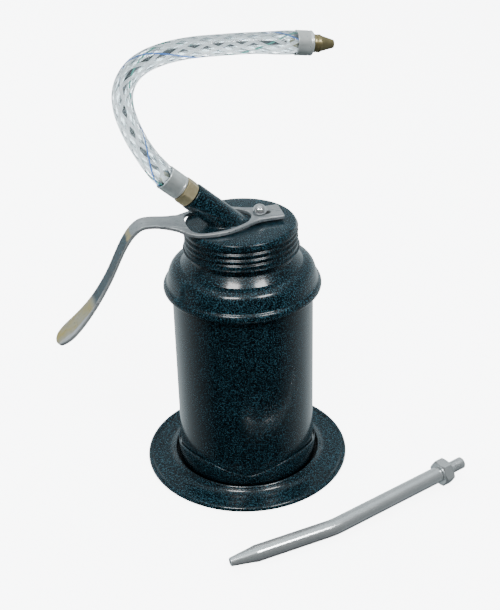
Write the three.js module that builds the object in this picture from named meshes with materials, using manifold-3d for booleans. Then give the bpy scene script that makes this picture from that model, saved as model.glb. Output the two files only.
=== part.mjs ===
// Pump oil can: a sheet-metal can on a wide foot, a screwed cap that carries a lift pump,
// a flexible spout and a rocking trigger lever, with a spare rigid spout lying beside it.
// Millimetres, +Z up. The origin is the middle of the can's underside. +X runs from the can's
// axis towards the pump rod, and the trigger lever's handle hangs on the -X side.
import * as THREE from "three";
import { mergeVertices } from "three/addons/utils/BufferGeometryUtils.js";
import Module from "manifold-3d";

const wasm = await Module();
wasm.setup();

// ---------- driving dimensions ----------
const gap = 0.3; // between pieces that rest on each other
const slideFit = 0.1; // radial, between a sliding piece and its bore

// can
const bodyRadius = 32;
const bodyWall = 0.6;
const bodyTop = 96;
const shoulderFoot = 92.1; // the underside of the shoulder's curled rim
const shoulderWall = 0.8;
const bulge = 3.8; // how far the shoulder swells past the body
const footRadius = 48.2;
const footSheet = 0.9;
const footRoll = 1.3; // radius of the rolled rim
const petalLow = 7.6;
const petalHigh = 14;
const petalRound = 0.25; // share of the petals' height that softens the notch between two of them
const petalTurn = -13; // degrees

// screwed cap
const capTop = 124.7; // height of the cap's top face
const capRadius = 25.4; // over the thread crests
const capWall = 0.8;
const capDepth = 12.5;
const capEdge = 1.4;
const threadPitch = 2.8;
const threadDepth = 0.45; // half of crest to root
const threadTurns = 3;
const threadStart = 2.2; // below the cap's top face
const threadFit = 0.4;
const neckWall = 0.9;
const gasketThick = 0.9;

// spout neck, where it passes the cap
const spoutX = -5.2; // where its axis crosses the cap's top face
const spoutLean = 47.5; // degrees from upright
const neckRadius = 6.1;

// pump, on its own axis
const glandRadius = 3.1;
const glandClear = 1.77; // between the gland nut and the spout neck, across the cap's top
const neckReach = neckRadius / Math.cos(THREE.MathUtils.degToRad(spoutLean));
const rodX = spoutX + neckReach + glandClear + glandRadius;
const rodRadius = 1.5;
const barrelRadius = 6;
const barrelBore = 4.7;
const barrelLength = 42.4;
const barrelDrop = 7.6; // below the cap's top face
const headDepth = 11.2;
const headHalfWidth = 8.3;
const pistonLength = 8.4;
const pistonDrop = 34.6; // top of the piston below the cap's top face
const springWire = 0.45;
const springTurns = 7;
const ballRadius = 1.6;
const ballChamber = 2.1;
const footSeatRise = 5.4;
const tubeRadius = 3;
const tubeBore = 2;
const tubeFloorGap = 9;
const strainerWall = 0.7;

// spout
const neckBore = 3.2;
const neckLength = 22; // from the cap's top face, along the axis
const hexFlats = 10.6;
const hexLength = 5.5;
const tailBore = 1.1;
const barbRadius = 1.95;
const barbLength = 11;
const ferruleRadius = 5.5;
const ferruleLength = 8.8;
const hoseRadius = 4.4;
const hoseBore = 2.5;
const tipFerruleRadius = 5.15;
const tipFerruleLength = 7;
const tipLean = 97.5; // degrees from upright, where the hose ends
const nozzleRadius = 3.7;
const nozzleMouth = 1.6;
const nozzleCollar = 3.4;
const nozzleCone = 5.8;

// trigger lever
const leverThick = 1.6;
const leverMid = gap + leverThick / 2; // its centre line above the cap's top face, at the fulcrum
const leverRise = 0.66; // how much higher its centre line is at the rod
const fulcrumX = -22.5; // where it rests on the cap, near the edge of the flat top
const tongueHalf = 6.2;
const slotHalf = 1.9;
const slotPast = 5.1; // how far the slot runs past the rod
const slotEnd = rodX + slotPast;
const tongueEnd = slotEnd + 4.8;
const headRadius = 3.2;

// spare rigid spout
const spareRadius = 3.75;
const spareBore = 1.8;
const spareTipRadius = 2;
const spareTaper = 11;
const spareFirst = 47; // straight length before the bend
const spareSecond = 58.5; // straight length after it
const spareBend = 10.4; // degrees
const spareBendRadius = 34;
const spareFlats = 11;
const spareNutLength = 5.2;
const spareStubRadius = 2.8;
const spareStubLength = 9.5;

const round = 36; // facets on the big round pieces
const fine = 16; // facets on the small ones

// The axis of the hose, from inside the lower ferrule to inside the upper one.
// Each pair is [x, z] above the cap's top face.
const hoseRoute = [
  [-26.9, 19.9], [-31.9, 24.6], [-36.4, 30.4], [-40.3, 36.9], [-43.5, 43.5], [-46.0, 50.3],
  [-47.6, 57.1], [-47.6, 63.4], [-45.6, 68.9], [-42.0, 73.2], [-37.0, 76.2], [-31.0, 78.1],
  [-24.0, 79.3], [-16.0, 79.8], [-8.0, 79.7], [0.0, 79.5], [8.0, 79.1], [16.0, 78.4],
  [24.0, 77.7], [31.2, 76.8],
];

// ---------- helpers ----------
// Turns a mesh the right way out and merges its shared corners.
function closed(geometry) {
  const bare = geometry.index ? geometry.toNonIndexed() : geometry.clone();
  bare.deleteAttribute("normal");
  bare.deleteAttribute("uv");
  const merged = mergeVertices(bare, 1e-4);
  const p = merged.attributes.position;
  const order = merged.index.array;
  const a = new THREE.Vector3();
  const b = new THREE.Vector3();
  const c = new THREE.Vector3();
  const kept = [];
  let volume = 0;
  for (let i = 0; i < order.length; i += 3) {
    const [u, v, w] = [order[i], order[i + 1], order[i + 2]];
    if (u === v || v === w || w === u) continue;
    a.fromBufferAttribute(p, u);
    b.fromBufferAttribute(p, v);
    c.fromBufferAttribute(p, w);
    volume += a.dot(b.clone().cross(c));
    kept.push([u, v, w]);
  }
  const faces = kept.map(([u, v, w]) => (volume < 0 ? [u, w, v] : [u, v, w]));
  merged.setIndex(faces.flat());
  return merged;
}

function toSolid(geometry) {
  const g = closed(geometry);
  return new wasm.Manifold(
    new wasm.Mesh({
      numProp: 3,
      vertProperties: new Float32Array(g.attributes.position.array),
      triVerts: new Uint32Array(g.index.array),
    }),
  );
}

function fromSolid(solid) {
  const m = solid.getMesh();
  const g = new THREE.BufferGeometry();
  g.setAttribute("position", new THREE.BufferAttribute(new Float32Array(m.vertProperties), 3));
  g.setIndex([...m.triVerts]);
  return g;
}

function cut(geometry, ...tools) {
  return fromSolid(tools.reduce((s, t) => s.subtract(toSolid(t)), toSolid(geometry)));
}

function join(geometry, ...others) {
  return fromSolid(others.reduce((s, t) => s.add(toSolid(t)), toSolid(geometry)));
}

function common(geometry, other) {
  return fromSolid(toSolid(geometry).intersect(toSolid(other)));
}

// A turned piece about +Z from [radius, height] pairs. A profile off the axis is closed on itself.
function turned(profile, facets = fine) {
  const points = profile.map(([r, z]) => new THREE.Vector2(Math.max(r, 0), z));
  if (profile[0][0] > 0) points.push(points[0].clone());
  return closed(new THREE.LatheGeometry(points, facets).rotateX(Math.PI / 2));
}

function ring(inner, outer, low, high, facets = fine) {
  return turned([[inner, low], [outer, low], [outer, high], [inner, high]], facets);
}

function rod(radius, low, high, facets = fine) {
  return turned([[0, low], [radius, low], [radius, high], [0, high]], facets);
}

// Points on an arc in a profile, angles in degrees.
function arc(cx, cz, radius, from, to, steps) {
  return Array.from({ length: steps + 1 }, (_, i) => {
    const a = THREE.MathUtils.degToRad(from + ((to - from) * i) / steps);
    return [cx + radius * Math.cos(a), cz + radius * Math.sin(a)];
  });
}

// A smooth profile through a few points.
function smooth(points, steps) {
  const curve = new THREE.SplineCurve(points.map(([x, y]) => new THREE.Vector2(x, y)));
  return curve.getPoints(steps).map((p) => [p.x, p.y]);
}

// The same profile moved sideways by a distance, to its left.
function offset(points, distance) {
  return points.map(([x, y], i) => {
    const before = points[Math.max(i - 1, 0)];
    const after = points[Math.min(i + 1, points.length - 1)];
    const [dx, dy] = [after[0] - before[0], after[1] - before[1]];
    const long = Math.hypot(dx, dy);
    return [x - (dy / long) * distance, y + (dx / long) * distance];
  });
}

// Moves every vertex by a rule that is given its radius, azimuth and height.
function reshape(geometry, rule) {
  const p = geometry.attributes.position;
  for (let i = 0; i < p.count; i++) {
    const radius = Math.hypot(p.getX(i), p.getY(i));
    const azimuth = Math.atan2(p.getY(i), p.getX(i));
    const [r, z] = rule(radius, azimuth, p.getZ(i));
    p.setXYZ(i, r * Math.cos(azimuth), r * Math.sin(azimuth), z);
  }
  return geometry;
}

function hexPrism(flats, low, high) {
  const corner = flats / Math.sqrt(3);
  return closed(
    new THREE.CylinderGeometry(corner, corner, high - low, 6)
      .rotateX(Math.PI / 2)
      .translate(0, 0, (low + high) / 2),
  );
}

// A hexagon with its corners turned off at both ends.
function hexNut(flats, low, high) {
  const corner = flats / Math.sqrt(3);
  const flat = flats / 2;
  const bevel = (corner - flat) * 0.9;
  const envelope = turned([
    [0, low], [flat * 0.97, low], [corner + 0.05, low + bevel],
    [corner + 0.05, high - bevel], [flat * 0.97, high], [0, high],
  ]);
  return common(hexPrism(flats, low, high), envelope);
}

function plate(shape, low, high) {
  return closed(
    new THREE.ExtrudeGeometry(shape, { depth: high - low, bevelEnabled: false, curveSegments: 10 })
      .translate(0, 0, low),
  );
}

// A cylinder between two points, used as a drill.
function drill(radius, from, to, facets = fine) {
  const a = new THREE.Vector3(...from);
  const b = new THREE.Vector3(...to);
  const g = new THREE.CylinderGeometry(radius, radius, a.distanceTo(b), facets);
  const turn = new THREE.Quaternion().setFromUnitVectors(
    new THREE.Vector3(0, 1, 0),
    b.clone().sub(a).normalize(),
  );
  g.applyQuaternion(turn);
  g.translate(...a.add(b).multiplyScalar(0.5).toArray());
  return closed(g);
}

function finish(color, roughness, metalness) {
  return new THREE.MeshStandardMaterial({ color, roughness, metalness });
}

const enamel = () => finish("#12262e", 0.3, 0.1);
const zincSteel = () => finish("#a2a8aa", 0.4, 0.9);
const polishedSteel = () => finish("#d3d6d7", 0.15, 1);
const brass = () => finish("#b29c62", 0.35, 0.9);
const aluminium = () => finish("#b4b9bb", 0.35, 0.9);
const rubber = () => finish("#1b1b1b", 0.8, 0);
const clearHose = () => finish("#cdd5d8", 0.2, 0);
const leather = () => finish("#5a3b22", 0.8, 0);

function piece(name, geometry, material) {
  const mesh = new THREE.Mesh(geometry, material);
  mesh.name = name;
  return mesh;
}

// ---------- thread ----------
// Both threads share one wave, so they stay clear while the cap is screwed.
const threadLength = threadTurns * threadPitch;
const threadLow = capTop - threadStart - threadLength;
const threadRows = threadTurns * 4;

function threadFade(z) {
  const along = (z - threadLow) / threadLength;
  return THREE.MathUtils.clamp(6 * Math.min(along, 1 - along), 0, 1);
}

function threadWave(azimuth, z) {
  return Math.cos((2 * Math.PI * z) / threadPitch - azimuth);
}

function threadHeights() {
  return Array.from({ length: threadRows + 1 }, (_, i) => threadLow + (i * threadLength) / threadRows);
}

const capInner = capRadius - capWall; // over the crests, inside
const neckOuter = capInner - threadFit - 2 * threadDepth; // at the roots
const neckTop = capTop - capWall - gasketThick - 2 * gap;

// ---------- can ----------
function bodyBottom() {
  const outer = bodyRadius - bodyWall - gap;
  const inner = outer - bodyWall;
  return turned([[0, 0], [outer, 0], [outer, 4], [inner, 4], [inner, bodyWall], [0, bodyWall]], round);
}

function bodyShell() {
  return ring(bodyRadius - bodyWall, bodyRadius, 0, bodyTop, round);
}

// Foot: a collar of four petals hugging the body, a raised bead, a flat flange and a rolled rim.
function footFlange() {
  const inner = bodyRadius + gap + 0.05;
  const collar = inner + footSheet * 0.85;
  const bead = bodyRadius + 2.65;
  const rimAt = footRadius - footRoll;
  const top = [
    [collar, petalHigh], [collar, 2.4], [bead - 1.05, 2.4], [bead - 0.6, 4.1], [bead, 4.6],
    [bead + 0.7, 4.2], [bead + 2.4, 2.3], [bead + 4, 1.8], [rimAt - 0.9, 1.6],
  ];
  const under = [
    [rimAt - 1.2, 0.55], [bead + 3.8, 0.85], [bead + 1.9, 1.25], [bead + 0.3, 3.3],
    [bead - 0.15, 3.1], [bead - 0.75, 1.4], [inner, 1.4], [inner, petalHigh],
  ];
  const profile = [...top, ...arc(rimAt, footRoll, footRoll, 110, -150, 7), ...under];
  const turn = THREE.MathUtils.degToRad(petalTurn);
  return reshape(turned(profile, 48), (r, azimuth, z) => {
    if (z < petalHigh - 0.01) return [r, z];
    const wave = Math.hypot(Math.sin(2 * (azimuth - turn)), petalRound);
    return [r, petalLow + (petalHigh - petalLow) * wave];
  });
}

// Shoulder: a curled rim round the body's top, a domed skirt and the threaded filler neck, spun in one.
function shoulderNeck() {
  const foot = shoulderFoot;
  const wide = bodyRadius + bulge;
  const crown = capTop - capDepth - 1.4;
  const dome = smooth(
    [
      [wide - 1.5, foot + 0.1],
      [wide - 0.35, foot + 0.9],
      [wide, foot + 2.2],
      [wide - 0.3, foot + 3.6],
      [wide - 1, foot + 4.8],
      [wide - 1.35, foot + 6.2],
      [wide - 2.6, foot + 9],
      [wide - 4.1, crown - 7.9],
      [wide - 6, crown - 6.6],
      [neckOuter + 4.3, crown - 5.1],
      [neckOuter + 2.2, crown - 3.9],
      [neckOuter + 0.9, crown - 2.6],
      [neckOuter + 0.3, crown - 1],
    ],
    26,
  );
  const outside = [[bodyRadius + gap, foot], [wide - 2.3, foot], ...dome];
  const inside = offset(outside, shoulderWall).reverse();
  const heights = threadHeights().filter((z) => z < neckTop);
  const profile = [
    ...outside,
    [neckOuter, threadLow - 0.5],
    ...heights.map((z) => [neckOuter, z]),
    [neckOuter, neckTop],
    [neckOuter - 0.3, neckTop],
    [neckOuter - neckWall, neckTop],
    [neckOuter - neckWall, crown - 0.6],
    ...inside.slice(1),
  ];
  return reshape(turned(profile, round), (r, azimuth, z) => {
    if (Math.abs(r - neckOuter) > 0.05 || z < threadLow || z > neckTop - 0.01) return [r, z];
    return [r + threadDepth * threadFade(z) * (1 + threadWave(azimuth, z)), z];
  });
}

// ---------- cap ----------
function spoutDrill(radius) {
  const lean = THREE.MathUtils.degToRad(spoutLean);
  const [dx, dz] = [-Math.sin(lean), Math.cos(lean)];
  const at = (s) => [spoutX + dx * s, 0, dz * s];
  return drill(radius, at(-20), at(20), 32);
}

function capShell() {
  const bottom = -capDepth;
  const rim = capRadius + 0.75;
  const heights = threadHeights().map((z) => z - capTop);
  const outer = [
    [0, 0], [capRadius - 0.6 - capEdge, 0],
    ...arc(capRadius - 0.6 - capEdge, -capEdge, capEdge, 75, 15, 3),
    ...heights.slice().reverse().map((z) => [capRadius, z]),
    [rim - 0.2, bottom + 1], [rim, bottom + 0.5], [rim - 0.3, bottom],
    [capInner + 0.2, bottom],
  ];
  const inner = [
    ...heights.map((z) => [capInner, z]),
    [capInner, -capWall - 0.6], [capInner - 0.6, -capWall], [0, -capWall],
  ];
  const shell = reshape(turned([...outer, ...inner], round), (r, azimuth, z) => {
    if (r < capInner - 0.05 || r > capRadius + 0.05) return [r, z];
    return [r - threadDepth * threadFade(z + capTop) * (1 - threadWave(azimuth, z + capTop)), z];
  });
  return cut(shell, spoutDrill(neckRadius + gap), rod(glandRadius + gap, -3, 3).translate(rodX, 0, 0));
}

function capGasket() {
  const outer = neckOuter - 0.2;
  return ring(outer - 2.4, outer, -capWall - gap - gasketThick, -capWall - gap, round);
}

// ---------- pump ----------
const headTop = -1.8;
const neckFoot = headTop + gap; // the spout neck ends here, on the pump head
const glandLow = -4.2;
const shelfTop = -6;
const shelfLow = -barrelDrop + 0.4;
const portHeight = -barrelDrop - 1.9;
const portRadius = 1.5;
const riserX = spoutX + 2;

function pumpHead() {
  const left = spoutX + 5;
  const shape = new THREE.Shape();
  shape.absarc(rodX, 0, headHalfWidth, -Math.PI / 2, Math.PI / 2, false);
  shape.absarc(left, 0, headHalfWidth, Math.PI / 2, (3 * Math.PI) / 2, false);
  return cut(
    plate(shape, headTop - headDepth, headTop),
    rod(glandRadius + gap, shelfTop, 1).translate(rodX, 0, 0),
    rod(rodRadius + gap, shelfLow - 1, 1).translate(rodX, 0, 0),
    rod(barrelRadius + gap, headTop - headDepth - 1, shelfLow).translate(rodX, 0, 0),
    rod(neckBore - 0.9, portHeight - portRadius, 1).translate(riserX, 0, 0),
    drill(portRadius, [riserX, 0, portHeight], [rodX, 0, portHeight], 16),
  );
}

function glandNut() {
  return ring(rodRadius + slideFit, glandRadius, glandLow, -0.1);
}

function glandPacking() {
  return ring(rodRadius + slideFit, glandRadius, shelfTop + gap, glandLow - gap);
}

const barrelLow = -barrelDrop - barrelLength;

function pumpBarrel() {
  const tube = ring(barrelBore, barrelRadius, barrelLow, -barrelDrop);
  return cut(tube, drill(portRadius, [-barrelRadius - 2, 0, portHeight], [0, 0, portHeight], 16));
}

const pistonLow = -pistonDrop - pistonLength;
const sealLow = pistonLow + 1.4;
const sealHigh = sealLow + 3;
const pistonRadius = barrelBore - 0.4;
const chamberTop = sealHigh + 1;
const rodHole = 2;

function pistonBody() {
  return cut(turned(pistonProfile()), drill(0.6, [-6, 0, chamberTop - 0.3], [6, 0, chamberTop - 0.3], 12));
}

function pistonProfile() {
  const hole = rodRadius + slideFit;
  return [
    [0, chamberTop], [ballChamber, chamberTop], [ballChamber, pistonLow + 1.2], [1.2, pistonLow + 1.2],
    [1.2, pistonLow], [pistonRadius, pistonLow], [pistonRadius, sealLow], [3, sealLow], [3, sealHigh],
    [pistonRadius, sealHigh], [pistonRadius, -pistonDrop], [hole, -pistonDrop],
    [hole, -pistonDrop - rodHole], [0, -pistonDrop - rodHole],
  ];
}

function pistonSeal() {
  return ring(3 + 0.2, barrelBore - slideFit, sealLow + gap, sealHigh - gap);
}

function ball() {
  return closed(new THREE.SphereGeometry(ballRadius, 12, 8).rotateX(Math.PI / 2));
}

function seatHeight(bore) {
  return Math.sqrt(ballRadius ** 2 - bore ** 2) + 0.15;
}

const headFoot = leverMid + leverRise + leverThick / 2 + gap + 0.1;

function pumpRod() {
  return rod(rodRadius, -pistonDrop - rodHole + gap, headFoot + 1.2);
}

// Polished domed head, with a blind hole for the rod.
function rodHead() {
  const hole = rodRadius + slideFit;
  return turned([
    [0, headFoot + 1.5], [hole, headFoot + 1.5], [hole, headFoot], [headRadius - 0.15, headFoot],
    ...arc(0, headFoot + 0.5, headRadius, 0, 90, 8).map(([r, z]) => [Math.max(r, 0), z]),
  ]);
}

function returnSpring() {
  const high = -barrelDrop - gap - springWire;
  const low = -pistonDrop + gap + springWire;
  const mean = barrelBore - springWire - 0.6;
  const points = Array.from({ length: springTurns * 9 + 1 }, (_, i) => {
    const t = i / (springTurns * 9);
    const a = t * springTurns * 2 * Math.PI;
    return new THREE.Vector3(mean * Math.cos(a), mean * Math.sin(a), low + (high - low) * t);
  });
  const wire = new THREE.Shape();
  wire.absarc(0, 0, springWire, 0, 2 * Math.PI, false);
  const curve = new THREE.CatmullRomCurve3(points);
  const settings = { steps: springTurns * 9, curveSegments: 3, extrudePath: curve, bevelEnabled: false };
  return closed(new THREE.ExtrudeGeometry(wire, settings));
}

const footBodyHigh = barrelLow + footSeatRise;
const footSeat = footBodyHigh - 5;
const footBore = 1;
const footFlangeLow = barrelLow - 3;

function footValveBody() {
  const profile = [
    [footBore, footFlangeLow - 5], [tubeBore - 0.3, footFlangeLow - 5],
    [tubeBore - 0.3, footFlangeLow], [barrelRadius, footFlangeLow],
    [barrelRadius, barrelLow - gap], [barrelBore - gap, barrelLow - gap],
    [barrelBore - gap, footBodyHigh], [ballChamber, footBodyHigh],
    [ballChamber, footSeat], [footBore, footSeat],
  ];
  return cut(turned(profile), drill(0.5, [0, -8, footBodyHigh - 0.7], [0, 8, footBodyHigh - 0.7], 12));
}

function ballStopPin() {
  const reach = barrelBore - gap - 0.1;
  return drill(0.35, [0, -reach, footBodyHigh - 0.7], [0, reach, footBodyHigh - 0.7], 12);
}

function suctionTube() {
  return ring(tubeBore, tubeRadius, tubeFloorGap - capTop, footFlangeLow - gap);
}

function strainerCup() {
  const low = tubeFloorGap - 4.2 - capTop;
  const inner = tubeRadius + gap;
  const outer = inner + strainerWall;
  const cup = turned([
    [0, low], [outer, low], [outer, low + 9], [inner, low + 9],
    [inner, low + strainerWall], [0, low + strainerWall],
  ]);
  const slots = [0, 60, 120].map((turn) => {
    const slot = new THREE.BoxGeometry(12, 0.8, 2).translate(0, 0, low + 2.2);
    return closed(slot.rotateZ(THREE.MathUtils.degToRad(turn)));
  });
  return cut(cup, ...slots);
}

// ---------- spout, on its leaning axis ----------
function spoutNeck() {
  const tube = ring(neckBore, neckRadius, -16, neckLength, 32);
  const lean = THREE.MathUtils.degToRad(spoutLean);
  const below = closed(
    new THREE.BoxGeometry(80, 80, 60)
      .translate(0, 0, neckFoot - 30)
      .translate(-spoutX, 0, 0)
      .rotateY(lean),
  );
  return cut(tube, below);
}

const hexLow = neckLength + gap;
const hexHigh = hexLow + hexLength;

// Hexagon, threaded stub and barbed stem of the lower hose fitting, in one piece.
function hoseTail() {
  const stub = rod(neckBore - gap, neckLength - 8, hexLow + 1);
  const barbs = [0, 1, 2].flatMap((i) => {
    const z = hexHigh + 2.5 + i * (barbLength - 5) / 2;
    return [[barbRadius, z], [barbRadius + 0.25, z + 0.3], [barbRadius, z + 2.2]];
  });
  const stem = turned([
    [0, hexHigh - 1], [barbRadius, hexHigh - 1], ...barbs,
    [barbRadius - 0.4, hexHigh + barbLength], [0, hexHigh + barbLength],
  ]);
  return cut(join(hexNut(hexFlats, hexLow, hexHigh), stub, stem), rod(tailBore, 0, 60, 16));
}

function crimpedFerrule(radius, low, length, stem) {
  const inner = hoseRadius + gap;
  const high = low + length;
  const dent = low + length * 0.45;
  return turned([
    [stem, low], [radius - 0.35, low], [radius, low + 0.4],
    [radius, dent - 0.7], [radius - 0.25, dent], [radius, dent + 0.7],
    [radius, high - 0.3], [radius - 0.2, high],
    [inner, high], [inner, low + 0.8], [stem, low + 0.8],
  ], 32);
}

function hoseCurve() {
  return new THREE.CatmullRomCurve3(hoseRoute.map(([x, z]) => new THREE.Vector3(x, 0, z)));
}

function spoutHose() {
  const section = new THREE.Shape();
  section.absarc(0, 0, hoseRadius, 0, 2 * Math.PI, false);
  const bore = new THREE.Path();
  bore.absarc(0, 0, hoseBore, 0, 2 * Math.PI, true);
  section.holes.push(bore);
  const settings = { steps: 30, curveSegments: 5, extrudePath: hoseCurve(), bevelEnabled: false };
  return closed(new THREE.ExtrudeGeometry(section, settings));
}

// Upper end: z runs towards the mouth, with 0 where the hose stops inside the ferrule.
function tipFerrule() {
  const cup = crimpedFerrule(tipFerruleRadius, 0, tipFerruleLength, hoseBore);
  return closed(cup.rotateX(Math.PI).translate(0, 0, gap + 0.8));
}

function brassNozzle() {
  const low = gap + 0.8 + gap;
  const collar = low + nozzleCollar;
  const tip = collar + nozzleCone;
  return turned([
    [0.8, 3 - barbLength], [barbRadius - 0.3, 3 - barbLength], [barbRadius, 5 - barbLength],
    [barbRadius, low], [nozzleRadius - 0.3, low], [nozzleRadius, low + 0.3],
    [nozzleRadius, collar - 0.3], [nozzleRadius - 0.3, collar], [nozzleMouth, tip], [0.8, tip],
  ]);
}

// ---------- trigger lever ----------
function leverSide() {
  return smooth(
    [
      [tongueEnd, leverMid + 0.9], [0, leverMid + 0.45], [fulcrumX, leverMid], [-30, leverMid + 1.6],
      [-40, leverMid + 3.4], [-46, leverMid + 2.2], [-52, -3.7], [-60.4, -19.9], [-68.5, -32], [-77, -41.2],
      [-85.5, -47.8],
    ],
    40,
  );
}

function leverPlan() {
  const ringSide = smooth(
    [
      [8.5, tongueHalf], [4, 7.8], [0, 9.9], [-7, 12.9], [-14, 13.7], [-20.5, 12.9], [-25, 10.6],
      [-29, 7.6], [-35, 5.5], [-44, 4.9], [-58, 4.6], [-67, 5.4], [-75, 7], [-80, 7.3], [-84, 5.2],
      [-85.4, 1.6],
    ],
    44,
  );
  const corner = 0.8;
  const side = [[tongueEnd, tongueHalf - corner], [tongueEnd - corner, tongueHalf], ...ringSide];
  const mirrored = side.slice().reverse().map(([x, y]) => [x, -y]);
  const shape = new THREE.Shape([...side, ...mirrored].map(([x, y]) => new THREE.Vector2(x, y)));
  const windowSide = smooth(
    [[5, 0], [3.6, 4], [0, 7.7], [-7, 10.9], [-14, 11.7], [-20, 11], [-23.6, 7.6], [-24.7, 0]],
    24,
  );
  const window = [...windowSide, ...windowSide.slice(1, -1).reverse().map(([x, y]) => [x, -y])];
  shape.holes.push(new THREE.Path(window.map(([x, y]) => new THREE.Vector2(x, y))));
  const slot = new THREE.Path();
  slot.absarc(slotEnd - slotHalf, 0, slotHalf, -Math.PI / 2, Math.PI / 2, false);
  slot.absarc(rodX - 0.3, 0, slotHalf, Math.PI / 2, (3 * Math.PI) / 2, false);
  shape.holes.push(slot);
  return shape;
}

function triggerLever() {
  const centre = leverSide();
  const loop = [...offset(centre, leverThick / 2), ...offset(centre, -leverThick / 2).reverse()];
  const side = new THREE.Shape(loop.map(([x, z]) => new THREE.Vector2(x, z)));
  const strip = plate(side, -20, 20).rotateX(Math.PI / 2);
  return common(strip, plate(leverPlan(), -80, 40));
}

// ---------- spare rigid spout ----------
// Straight along +Z from its tip, then bent towards +X.
const spareArc = spareBendRadius * THREE.MathUtils.degToRad(spareBend);

function spareFrame(s) {
  const turn = THREE.MathUtils.clamp((s - spareFirst) / spareArc, 0, 1) * THREE.MathUtils.degToRad(spareBend);
  const past = Math.max(s - spareFirst - spareArc, 0);
  const x = spareBendRadius * (1 - Math.cos(turn)) + past * Math.sin(turn);
  const z = Math.min(s, spareFirst) + spareBendRadius * Math.sin(turn) + past * Math.cos(turn);
  return { x, z, turn };
}

const spareLength = spareFirst + spareArc + spareSecond;

function spareTube() {
  const steps = 6;
  const bend = Array.from({ length: steps + 1 }, (_, i) => spareFirst + (spareArc * i) / steps);
  const outside = [
    [spareBore, 0], [spareTipRadius - 0.3, 0], [spareTipRadius, 0.5], [spareRadius - 0.3, spareTaper],
    [spareRadius, spareTaper + 1.5], ...bend.map((s) => [spareRadius, s]), [spareRadius, spareLength],
  ];
  const inside = [...bend.map((s) => [spareBore, s]), [spareBore, spareLength]].reverse();
  const g = turned([...outside.slice(1), ...inside, [spareBore - 0.6, spareTaper], [spareBore - 0.6, 0]], 20);
  const p = g.attributes.position;
  for (let i = 0; i < p.count; i++) {
    const { x, z, turn } = spareFrame(p.getZ(i));
    p.setXYZ(i, x + p.getX(i) * Math.cos(turn), p.getY(i), z - p.getX(i) * Math.sin(turn));
  }
  return g;
}

function spareNut() {
  const nut = hexNut(spareFlats, gap, gap + spareNutLength).rotateZ(Math.PI / 6);
  const top = gap + spareNutLength + spareStubLength;
  const stub = turned([
    [0, gap + 1], [spareStubRadius, gap + 1], [spareStubRadius, top - 0.4],
    [spareStubRadius - 0.4, top], [0, top],
  ]);
  return cut(join(nut, stub), rod(spareBore - 0.3, -1, top + 1, 16));
}

// ---------- assembly ----------
const can = new THREE.Group();
can.add(
  piece("base_flange", footFlange(), enamel()),
  piece("body_bottom", bodyBottom(), enamel()),
  piece("body_shell", bodyShell(), enamel()),
  piece("shoulder_neck", shoulderNeck(), enamel()),
);

const cap = new THREE.Group();
cap.position.set(0, 0, capTop);
cap.add(
  piece("cap_shell", capShell(), enamel()),
  piece("cap_gasket", capGasket(), rubber()),
  piece("pump_head", pumpHead(), zincSteel()),
  piece("trigger_lever", triggerLever(), zincSteel()),
);

const pump = new THREE.Group();
pump.position.set(rodX, 0, 0);
pump.add(
  piece("gland_nut", glandNut(), brass()),
  piece("gland_packing", glandPacking(), leather()),
  piece("pump_barrel", pumpBarrel(), brass()),
  piece("pump_rod", pumpRod(), polishedSteel()),
  piece("rod_head", rodHead(), polishedSteel()),
  piece("piston_body", pistonBody(), brass()),
  piece("piston_seal", pistonSeal(), leather()),
  piece("return_spring", returnSpring(), polishedSteel()),
  piece("foot_valve_body", footValveBody(), brass()),
  piece("ball_stop_pin", ballStopPin(), polishedSteel()),
  piece("suction_tube", suctionTube(), zincSteel()),
  piece("strainer_cup", strainerCup(), brass()),
);
const pistonBall = piece("piston_ball", ball(), polishedSteel());
pistonBall.position.z = pistonLow + 1.2 + seatHeight(1.2);
const footBall = piece("foot_valve_ball", ball(), polishedSteel());
footBall.position.z = footSeat + seatHeight(footBore);
pump.add(pistonBall, footBall);

const spout = new THREE.Group();
spout.position.set(spoutX, 0, 0);
spout.rotation.y = -THREE.MathUtils.degToRad(spoutLean);
spout.add(
  piece("spout_neck", spoutNeck(), enamel()),
  piece("hose_tail", hoseTail(), brass()),
  piece("lower_ferrule", crimpedFerrule(ferruleRadius, hexHigh + gap, ferruleLength, hoseBore), aluminium()),
);

const tip = new THREE.Group();
const hoseEnd = hoseRoute[hoseRoute.length - 1];
tip.position.set(hoseEnd[0], 0, hoseEnd[1]);
tip.rotation.y = THREE.MathUtils.degToRad(tipLean);
tip.add(piece("upper_ferrule", tipFerrule(), aluminium()), piece("nozzle", brassNozzle(), brass()));

cap.add(pump, spout, tip, piece("spout_hose", spoutHose(), clearHose()));

// The spare spout lies in front of the foot, on its tube and on a flat of its nut.
const spare = new THREE.Group();
const spareRise = (spareFlats / 2 - spareRadius) / (spareLength - spareTaper);
const spareHeight = (s) => spareRadius + 0.12 + spareRise * (s - spareTaper);
const spareTip = new THREE.Vector3(-27.6, -footRadius - 32.4, spareHeight(0));
const spareKnee = new THREE.Vector3(23.7, -footRadius - 23.3, spareHeight(spareFirst + spareArc / 2));
const spareNutAt = new THREE.Vector3(82.4, -footRadius - 2.7, spareHeight(spareLength));
const first = spareKnee.clone().sub(spareTip).normalize();
const second = spareNutAt.clone().sub(spareKnee);
const across = second.sub(first.clone().multiplyScalar(second.dot(first))).normalize();
spare.matrixAutoUpdate = false;
spare.matrix.makeBasis(across, first.clone().cross(across), first).setPosition(spareTip);
const fitting = new THREE.Group();
const end = spareFrame(spareLength);
fitting.position.set(end.x, 0, end.z);
fitting.rotation.y = end.turn;
fitting.add(piece("spare_spout_nut", spareNut(), zincSteel()));
spare.add(piece("spare_spout_tube", spareTube(), zincSteel()), fitting);

const oilCan = new THREE.Group();
oilCan.add(can, cap, spare);

export default oilCan;
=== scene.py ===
# Pump oil can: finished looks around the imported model, in metres.
import math
import bpy
import numpy as np
from mathutils import Matrix, Vector


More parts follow.
